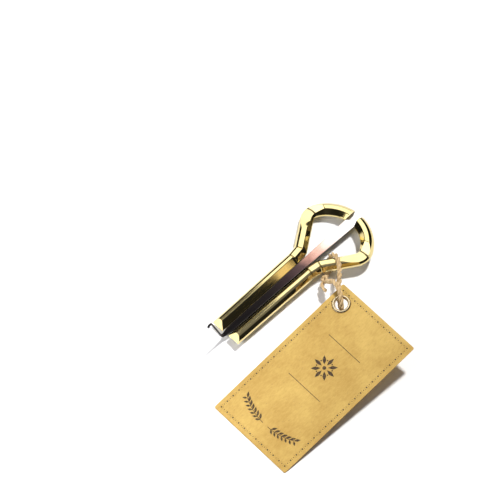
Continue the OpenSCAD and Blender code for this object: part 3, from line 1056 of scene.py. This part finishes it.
@dataclass
class Tag:
    """The kraft card with its printed border, eyelet and washer. Sizes in mm."""

    length: float = 90
    width: float = 50
    thick: float = 0.5
    corner: float = 1
    soft: float = 0.06
    eyelet_in: float = 8.4
    eyelet_side: float = 7
    eyelet_d: float = 9.8
    bore: float = 6.5
    sheet: float = 0.3
    rim_h: float = 0.7
    washer_t: float = 0.35
    washer_soft: float = 0.08
    lip_w: float = 0.5
    lip_soft: float = 0.12
    gap: float = 0.05

    # The print
    ink_t: float = 0.02
    border_in: float = 2.6
    dot_step: float = 2.0
    hub_x: float = 52
    petals: int = 8
    rules: Spot = (66, 38)
    rule_half: float = 11
    line_w: float = 0.3
    twig_x: float = 11
    twig_start: float = 1.6
    twig_step: float = 2.1
    twig_bow: float = 0.077
    twig_steps: int = 7

    @property
    def low_y(self) -> float:
        """Return the card's side far from the harp."""
        return self.eyelet_side - self.width

    @property
    def barrel_r(self) -> float:
        """Return the outer radius of the eyelet's barrel."""
        return self.bore / 2 + self.sheet

    @property
    def hole(self) -> Matrix:
        """Return the place of the hole on the card."""
        return moved(self.length - self.eyelet_in, 0)

    def card(self, kraft: Material) -> Piece:
        """Return the card with rounded corners, a hole and softened edges."""
        bm = bmesh.new()
        corners = [bm.verts.new((x * MM, y * MM, 0)) for x, y in (
            (0, self.low_y), (self.length, self.low_y),
            (self.length, self.eyelet_side), (0, self.eyelet_side))]
        bm.faces.new(corners)
        bmesh.ops.bevel(bm, geom=corners, offset=self.corner * MM, affect="VERTICES",
                        segments=6, profile=0.5, material=-1)
        raised = bmesh.ops.extrude_face_region(bm, geom=bm.faces[:])["geom"]
        bmesh.ops.translate(bm, vec=(0, 0, self.thick * MM),
                            verts=only(raised, bmesh.types.BMVert))
        bmesh.ops.recalc_face_normals(bm, faces=bm.faces)
        rims = [e for e in bm.edges if e.calc_face_angle(0) > 1]
        bmesh.ops.bevel(bm, geom=rims, offset=self.soft * MM, affect="EDGES", segments=2,
                        profile=0.5, material=-1)
        card = finished("kraft_card", bm, kraft)
        punch, radius = bmesh.new(), (self.barrel_r + self.gap) * MM
        bmesh.ops.create_cone(punch, cap_ends=True, segments=64, depth=4 * MM,
                              radius1=radius, radius2=radius)
        bmesh.ops.transform(punch, verts=punch.verts, matrix=self.hole)
        cut_by(card, [punch])
        settle(card, card_frame(), 30)
        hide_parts("tag_card")
        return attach(card, Body.TAG.value)

    def stamp(self, bm: Draft, verts: Sequence[bmesh.types.BMVert], at: Sequence[float],
              angle: float, size: Spot) -> None:
        """Lay a shape on the card's face as ink.

        Args:
            bm: The mesh of the print.
            verts: The shape, of unit size and round its own middle.
            at: Its place on the card, in mm.
            angle: Its turn on the card, in degrees.
            size: What its length and width are multiplied by, in mm.
        """
        place = (moved(at[0], at[1], self.thick + self.ink_t / 2) @ turned(angle, "Z")
                 @ Matrix.Diagonal((size[0] * MM, size[1] * MM, self.ink_t * MM, 1)))
        bmesh.ops.transform(bm, matrix=place, verts=verts)

    def bar(self, bm: Draft, a: Sequence[float], b: Sequence[float]) -> None:
        """Print a straight line from one point of the card to another."""
        start, end = Vector(a), Vector(b)
        run = end - start
        self.stamp(bm, bmesh.ops.create_cube(bm, size=1)["verts"], (start + end) / 2,
                   math.degrees(math.atan2(run.y, run.x)), (run.length, self.line_w))

    def disc(self, bm: Draft, sides: int) -> list[bmesh.types.BMVert]:
        """Return the points of a new disc of unit radius and thickness."""
        return bmesh.ops.create_cone(bm, cap_ends=True, segments=sides, depth=1, radius1=1,
                                     radius2=1)["verts"]

    def leaf(self, bm: Draft, at: Sequence[float], angle: float, long: float,
             wide: float) -> None:
        """Print one pointed leaf that grows from a point of the card."""
        new = self.disc(bm, 14)
        for v in new:
            v.co.y *= 1 - abs(v.co.x) ** 1.6
        self.stamp(bm, new, Vector(at) + long / 2 * ray(angle), angle, (long / 2, wide / 2))

    def dot(self, bm: Draft, at: Sequence[float], radius: float) -> None:
        """Print one round dot."""
        self.stamp(bm, self.disc(bm, 12), at, 0, (radius, radius))

    def border(self, bm: Draft) -> None:
        """Print a plain border of large, middling and small dots, inset from the edge."""
        x0, x1 = self.border_in, self.length - self.border_in
        y0, y1 = self.low_y + self.border_in, self.eyelet_side - self.border_in
        for a, b in (((x0, y0), (x1, y0)), ((x0, y1), (x1, y1)),
                     ((x0, y0), (x0, y1)), ((x1, y0), (x1, y1))):
            start, end = Vector(a), Vector(b)
            count = round((end - start).length / self.dot_step)
            side = (end - start).normalized().orthogonal()
            for k in range(count + 1):
                self.dot(bm, start.lerp(end, k / count), 0.24 if k % 2 else 0.42)
                if k < count:
                    between = start.lerp(end, (k + 0.5) / count)
                    for s in (-0.45, 0.45):
                        self.dot(bm, between + s * side, 0.13)

    def motifs(self, bm: Draft) -> None:
        """Print a generic rosette, two rules and two leafy twigs."""
        mid_y = self.low_y + self.width / 2
        hub = Vector((self.hub_x, mid_y))
        turn = 360 / self.petals
        for a in (turn * k for k in range(self.petals)):
            self.leaf(bm, hub + 1.7 * ray(a), a, 5.2, 1.9)
            self.dot(bm, hub + 4.2 * ray(a + turn / 2), 0.4)
        self.dot(bm, hub, 1.0)
        for x in self.rules:
            self.bar(bm, (x, mid_y - self.rule_half), (x, mid_y + self.rule_half))
        for side in (1, -1):
            twig = [Vector((self.twig_x + self.twig_bow * k * k,
                            mid_y + side * (self.twig_start + self.twig_step * k)))
                    for k in range(self.twig_steps + 1)]
            for p, q in zip(twig, twig[1:]):
                self.bar(bm, p, q)
                self.leaf(bm, q, side * 38, 3.6, 1.3)
                self.leaf(bm, q, 180 - side * 55, 2.8, 1.1)

    def print_face(self, ink: Material) -> Piece:
        """Return the printed face of the card."""
        bm = bmesh.new()
        self.border(bm)
        self.motifs(bm)
        bmesh.ops.recalc_face_normals(bm, faces=bm.faces)
        face = finished("card_print", bm, ink, card_frame(), 30)
        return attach(face, Body.TAG.value)

    def spun(self, name: str, profile: Sequence[Spot], nodes: Sequence[str],
             metal: Material) -> Piece:
        """Return a ring that is spun from its section round the eyelet's hole.

        Args:
            name: The piece's name.
            profile: The section as radius and height, in mm.
            nodes: The nodes that the ring stands for.
            metal: What it is dressed in.

        Returns:
            The finished piece.
        """
        ring = finished(name, spun_draft(profile, 72, True), metal,
                        card_frame() @ self.hole)
        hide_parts(*nodes)
        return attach(ring, Body.TAG.value)

    def eyelet(self, metal: Material) -> Piece:
        """Return the rolled eyelet."""
        mid, half = (self.eyelet_d + self.bore) / 4, (self.eyelet_d - self.bore) / 4
        rim = [(mid + half * ray(a).x, self.thick + self.rim_h * ray(a).y)
               for a in range(0, 181, 12)]
        bore, barrel, soft = self.bore / 2, self.barrel_r, self.lip_soft
        lip, low = barrel + self.lip_w, -self.washer_t
        foot = low - self.sheet
        return self.spun("rolled_eyelet", rim + [
            (bore, foot + soft), (bore + soft, foot), (lip - soft, foot), (lip, foot + soft),
            (lip, low), (barrel, low), (barrel, self.thick)], ["tag_eyelet"], metal)

    def washer(self, metal: Material) -> Piece:
        """Return the washer under the card."""
        inner, outer = self.barrel_r + self.gap, self.eyelet_d / 2 - 2 * self.gap
        low, soft = -self.washer_t, self.washer_soft
        profile = [(inner, 0), (inner, low + soft), (inner + soft, low), (outer - soft, low),
                   (outer, low + soft), (outer, -soft), (outer - soft, 0)]
        return self.spun("back_washer", profile, ["eyelet_washer"], metal)


# The studio


@dataclass(frozen=True)
class Lamp:
    """A flat soft light: its place and the way it faces back from, in m, and watts.

    A mirrored lamp is seen in polished metal only; any other lights the dull surfaces.
    """

    name: str
    at: Point
    back: Point
    size: Spot
    power: float
    colour: Point = (1, 1, 1)
    mirrored: bool = True
    roll: float = 0.0

    def build(self) -> None:
        """Set up the light, which shines along the way it faces."""
        data = bpy.data.lights.new(self.name, "AREA")
        data.shape, data.size, data.size_y = "RECTANGLE", self.size[0], self.size[1]
        data.energy, data.color = self.power, self.colour
        light = linked(self.name, data)
        light.visible_glossy, light.visible_diffuse = self.mirrored, not self.mirrored
        light.location = self.at
        facing = Vector(self.back).to_track_quat("Z", "Y").to_matrix().to_4x4()
        light.rotation_euler = (facing @ turned(self.roll, "Z")).to_euler()


@dataclass
class Studio:
    """The pale floor, the soft light and the camera of the picture. Sizes in m."""

    towards: Point = (-0.33921, -0.34423, 0.87546)
    aim: Point = (0.001374, 0.03414, 0)
    distance: float = 2.0
    lens: float = 297.15
    sensor: float = 36
    floor_half: float = 3
    lamps: tuple[Lamp, ...] = (
        Lamp("key", (0.92, 0.177, 1.767), (0.459, 0.088, 0.883), (0.24, 0.24), 45,
             (1, 0.99, 0.97), False),
        Lamp("bounce", (-0.20, 0.02, 0.14), (-0.20, 0.06, 0.16), (0.10, 0.10), 0.34,
             mirrored=False),
        Lamp("fill", (0.344, 0.098, 0.3615), (0.3127, 0.4937, 0.8115), (0.45, 0.50), 1.2,
             roll=29.6),
        Lamp("sheet", (-0.018, 0.2316, 0.4196), (0.3127, 0.4937, 0.8115), (0.22, 0.34), 0.57,
             roll=29.6),
        Lamp("panel", (-0.93, 0.26, 0.26), (-0.93, 0.26, 0.26), (0.6, 0.28), 1.0,
             (1, 1, 0.98)),
        Lamp("wall", (-1.169, -0.12, 0.241), (-0.97, -0.10, 0.20), (1.9, 0.5), 0.8,
             (1, 0.93, 0.85)),
        Lamp("glow", (0.102, -0.2396, 0.1483), (0.3178, -0.8127, 0.4884), (0.012, 0.03),
             0.0014, (1, 0.80, 0.50)),
    )
    sky_stops: tuple[tuple[float, Colour], ...] = (
        (0.0, grey(0.01)), (0.5, grey(0.02)), (0.72, (0.15, 0.15, 0.17, 1)),
        (1.0, (0.28, 0.28, 0.32, 1)),
    )

    def camera(self) -> None:
        """Set up the camera, at the picture's own viewing angle."""
        data = bpy.data.cameras.new("camera")
        data.lens, data.sensor_width = self.lens, self.sensor
        data.clip_start, data.clip_end = 0.05, 20
        camera = linked("camera", data)
        away = Vector(self.towards).normalized()
        camera.location = Vector(self.aim) + away * self.distance
        camera.rotation_euler = away.to_track_quat("Z", "Y").to_euler()
        bpy.context.scene.camera = camera

    def floor(self) -> None:
        """Lay the plain pale floor."""
        bm = bmesh.new()
        bmesh.ops.create_grid(bm, x_segments=1, y_segments=1, size=self.floor_half)
        floor = linked("floor", mesh_of("floor", bm))
        floor.data.materials.append(PaleFloor().make())

    def sky(self) -> None:
        """Light the room: bright overhead, and dim along the walls."""
        world = bpy.data.worlds.new("room")
        world.use_nodes = True
        nodes = Nodes(world.node_tree)
        glow = nodes.ramp(nodes.axis("Generated", "Z"), self.sky_stops)
        back = nodes.add("ShaderNodeBackground", in_Color=glow, in_Strength=1.0)
        nodes.add("ShaderNodeOutputWorld", in_Surface=back.outputs[0])
        bpy.context.scene.world = world

    def build(self) -> None:
        """Set up everything that isn't the object."""
        view = bpy.context.scene.view_settings
        view.view_transform, view.look = "Standard", "None"
        self.camera()
        self.floor()
        self.sky()
        for lamp in self.lamps:
            lamp.build()


def report(pieces: Iterable[Piece]) -> None:
    """Log the name and size of each piece."""
    for piece in pieces:
        LOG.info("%s: %d faces", piece.name, len(piece.data.polygons))


def main() -> None:
    """Build the studio and the jaw harp with its tag."""
    logging.basicConfig(level=logging.INFO, format="%(name)s: %(message)s")
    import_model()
    Studio().build()
    report(Twine().build(Jute().make()))
    report([Bow().build(PolishedBrass().make())])
    report(Reed().build(TemperedSteel().make(), BlackSteel().make()))
    tag, metal = Tag(), EyeletMetal().make()
    report([tag.card(KraftCard().make()), tag.print_face(PrintInk().make()),
            tag.eyelet(metal), tag.washer(metal)])


if __name__ == "__main__":
    main()
